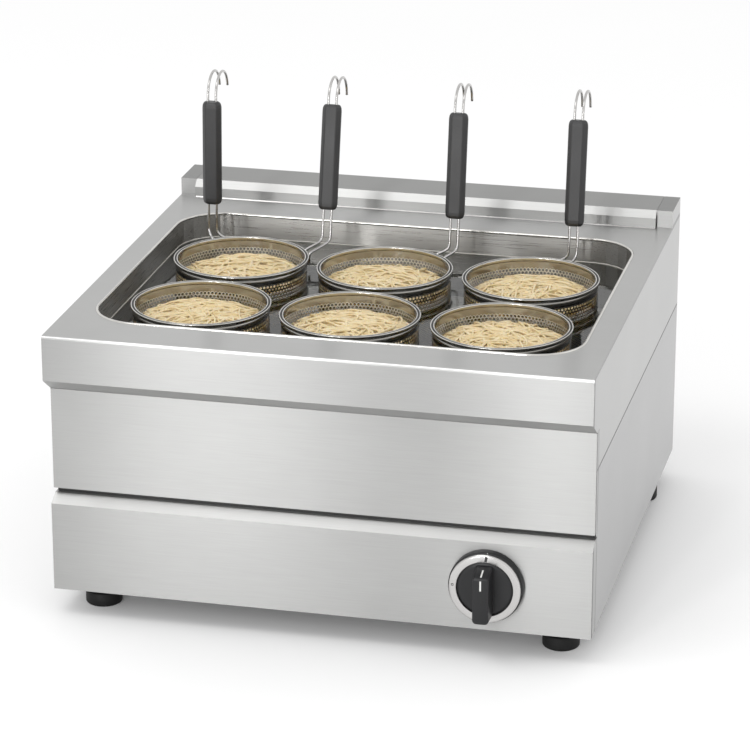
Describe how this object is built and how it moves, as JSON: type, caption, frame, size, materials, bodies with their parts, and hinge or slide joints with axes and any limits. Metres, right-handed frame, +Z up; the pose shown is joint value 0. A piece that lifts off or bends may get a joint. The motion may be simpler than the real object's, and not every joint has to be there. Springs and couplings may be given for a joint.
{
  "type": "pasta cooker",
  "caption": "Countertop pasta cooker: square steel body with a rounded well, round perforated lift-out baskets of noodles, hooked wire handles, one control knob and short feet.",
  "frame": {"origin": "on the floor plane under the feet, at the centre of the overall length and width", "axes": "+Z up, -Y towards the front with the knob, +X to the user's right"},
  "size_m": [0.6, 0.615, 0.5179],
  "materials": {
    "brushed_steel": "brushed stainless sheet",
    "well_steel": "bright stainless sheet, dark with reflections",
    "zinc_steel": "zinc plated steel",
    "element_sheath": "oxidised heater sheath",
    "polished_steel": "polished stainless steel",
    "black_plastic": "satin black moulding",
    "black_rubber": "matt black",
    "grey_plastic": "satin grey moulding",
    "noodles": "cooked pasta, soft sheen"
  },
  "bodies": {
    "housing": {"worktop": "brushed_steel", "hook_rail": "brushed_steel", "well": "well_steel", "front_panel": "brushed_steel", "control_panel": "brushed_steel", "side_panel_left": "brushed_steel", "side_panel_right": "brushed_steel", "back_panel": "brushed_steel", "base_tray": "zinc_steel", "cross_rail": "zinc_steel", "knob_skirt": "black_plastic", "regulator_body": "grey_plastic", "heating_element": "element_sheath", "element_nut_1": "zinc_steel", "element_nut_2": "zinc_steel", "temperature_probe": "polished_steel", "drain_elbow": "zinc_steel", "drain_pipe": "zinc_steel", "cable_gland": "black_rubber", "terminal_block": "grey_plastic", "contactor": "grey_plastic"},
    "knob": {"knob_cap": "black_plastic", "knob_ring": "polished_steel", "regulator_shaft": "zinc_steel"},
    "drain_plate": {"false_bottom": "well_steel"},
    "foot_front_left_body": {"foot_front_left": "black_rubber", "foot_stud_front_left": "zinc_steel"},
    "foot_front_right_body": {"foot_front_right": "black_rubber", "foot_stud_front_right": "zinc_steel"},
    "foot_rear_left_body": {"foot_rear_left": "black_rubber", "foot_stud_rear_left": "zinc_steel"},
    "foot_rear_right_body": {"foot_rear_right": "black_rubber", "foot_stud_rear_right": "zinc_steel"},
    "basket_front_left_body": {"basket_front_left": "polished_steel", "basket_rim_front_left": "polished_steel", "noodles_front_left": "noodles"},
    "basket_front_middle_body": {"basket_front_middle": "polished_steel", "basket_rim_front_middle": "polished_steel", "noodles_front_middle": "noodles"},
    "basket_front_right_body": {"basket_front_right": "polished_steel", "basket_rim_front_right": "polished_steel", "noodles_front_right": "noodles"},
    "basket_back_left_body": {"basket_back_left": "polished_steel", "basket_rim_back_left": "polished_steel", "noodles_back_left": "noodles", "handle_wire_a": "polished_steel", "handle_grip_a": "black_plastic", "handle_wire_b": "polished_steel", "handle_grip_b": "black_plastic"},
    "basket_back_middle_body": {"basket_back_middle": "polished_steel", "basket_rim_back_middle": "polished_steel", "noodles_back_middle": "noodles", "handle_wire_c": "polished_steel", "handle_grip_c": "black_plastic"},
    "basket_back_right_body": {"basket_back_right": "polished_steel", "basket_rim_back_right": "polished_steel", "noodles_back_right": "noodles", "handle_wire_d": "polished_steel", "handle_grip_d": "black_plastic"}
  },
  "joints": [
    {"name": "knob_turn", "type": "hinge", "parent": "housing", "child": "knob", "pos_m": [0.1865, -0.2705, 0.0855], "axis": [0, 1, 0], "range_deg": [0, 270]},
    {"name": "drain_plate_lift", "type": "slide", "parent": "housing", "child": "drain_plate", "axis": [0, 0, 1], "range_m": [0, 0.25]},
    {"name": "basket_front_left_lift", "type": "slide", "parent": "drain_plate", "child": "basket_front_left_body", "axis": [0, 0, 1], "range_m": [0, 0.25]},
    {"name": "basket_front_middle_lift", "type": "slide", "parent": "drain_plate", "child": "basket_front_middle_body", "axis": [0, 0, 1], "range_m": [0, 0.25]},
    {"name": "basket_front_right_lift", "type": "slide", "parent": "drain_plate", "child": "basket_front_right_body", "axis": [0, 0, 1], "range_m": [0, 0.25]},
    {"name": "basket_back_left_lift", "type": "slide", "parent": "drain_plate", "child": "basket_back_left_body", "axis": [0, 0, 1], "range_m": [0, 0.25]},
    {"name": "basket_back_middle_lift", "type": "slide", "parent": "drain_plate", "child": "basket_back_middle_body", "axis": [0, 0, 1], "range_m": [0, 0.25]},
    {"name": "basket_back_right_lift", "type": "slide", "parent": "drain_plate", "child": "basket_back_right_body", "axis": [0, 0, 1], "range_m": [0, 0.25]},
    {"name": "foot_front_left_level", "type": "slide", "parent": "housing", "child": "foot_front_left_body", "axis": [0, 0, -1], "range_m": [0, 0.01]},
    {"name": "foot_front_right_level", "type": "slide", "parent": "housing", "child": "foot_front_right_body", "axis": [0, 0, -1], "range_m": [0, 0.01]},
    {"name": "foot_rear_left_level", "type": "slide", "parent": "housing", "child": "foot_rear_left_body", "axis": [0, 0, -1], "range_m": [0, 0.01]},
    {"name": "foot_rear_right_level", "type": "slide", "parent": "housing", "child": "foot_rear_right_body", "axis": [0, 0, -1], "range_m": [0, 0.01]}
  ]
}
